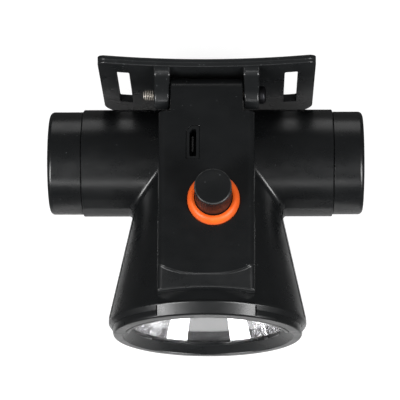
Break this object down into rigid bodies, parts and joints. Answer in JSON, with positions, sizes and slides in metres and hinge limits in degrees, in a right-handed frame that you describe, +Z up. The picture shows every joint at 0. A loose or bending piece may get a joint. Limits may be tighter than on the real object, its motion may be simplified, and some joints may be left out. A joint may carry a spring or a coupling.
{
  "type": "cap lamp",
  "caption": "Rechargeable LED cap lamp: conical head on a cross battery tube, push button, charging port, tilting on a curved forehead bracket with strap slots.",
  "frame": {"origin": "middle of the bracket plate's rear face, where the forehead band or the helmet carries the lamp", "axes": "+X along the battery tube to the wearer's left as seen from in front, +Y back towards the head, lens faces -Y, +Z up"},
  "size_m": [0.0789, 0.0642, 0.0614],
  "materials": {
    "shell": "satin black moulded",
    "cap": "satin black moulded",
    "bracket": "satin black moulded",
    "button": "matt black",
    "orange_rubber": "soft satin orange",
    "rubber": "matt black",
    "window": "clear polished",
    "reflector": "vacuum metallised",
    "steel": "bright zinc plated",
    "contact": "nickel plated",
    "heat_sink": "machined",
    "board": "solder mask",
    "led": "clear dome over phosphor",
    "cell_wrap": "shrink wrap",
    "wire": "insulated"
  },
  "bodies": {
    "bracket": {"bracket_plate": "bracket", "tilt_screw": "steel"},
    "lamp": {"upper_housing": "shell", "lower_housing": "shell", "left_housing_screw": "steel", "right_housing_screw": "steel", "button_ring": "orange_rubber", "lens": "window", "lens_gasket": "rubber", "reflector": "reflector", "led_emitter": "led", "led_board": "board", "heat_sink": "heat_sink", "driver_board": "board", "usb_socket": "contact", "usb_tongue": "button", "switch_body": "rubber", "battery_cell": "cell_wrap", "left_battery_lead": "wire", "right_battery_lead": "wire", "left_led_lead": "wire", "right_led_lead": "wire"},
    "button": {"button_cap": "button", "switch_plunger": "contact"},
    "left_seal": {"left_cap_gasket": "rubber"},
    "left_cap": {"left_end_cap": "cap", "negative_contact": "contact", "cell_spring": "contact"},
    "right_seal": {"right_cap_gasket": "rubber"},
    "right_cap": {"right_end_cap": "cap", "positive_contact": "contact"}
  },
  "joints": [
    {"name": "lamp_tilt", "type": "hinge", "parent": "bracket", "child": "lamp", "pos_m": [0, -0.0074, 0.01285], "axis": [-1, 0, 0], "range_deg": [-5, 90]},
    {"name": "button_press", "type": "slide", "parent": "lamp", "child": "button", "axis": [0, 0, -1], "range_m": [0, 0.0012], "stiffness_N_per_m": 1600},
    {"name": "left_cap_travel", "type": "slide", "parent": "lamp", "child": "left_seal", "axis": [-1, 0, 0], "range_m": [0, 0.0045]},
    {"name": "left_cap_turn", "type": "hinge", "parent": "left_seal", "child": "left_cap", "pos_m": [0, -0.018, -0.00915], "axis": [-1, 0, 0], "range_deg": [0, 1080]},
    {"name": "right_cap_travel", "type": "slide", "parent": "lamp", "child": "right_seal", "axis": [1, 0, 0], "range_m": [0, 0.0045]},
    {"name": "right_cap_turn", "type": "hinge", "parent": "right_seal", "child": "right_cap", "pos_m": [0, -0.018, -0.00915], "axis": [1, 0, 0], "range_deg": [0, 1080]}
  ],
  "couplings": [
    {"joint": "left_cap_turn", "follows": "left_cap_travel", "rad_per_m": 4188.8},
    {"joint": "right_cap_turn", "follows": "right_cap_travel", "rad_per_m": 4188.8}
  ]
}
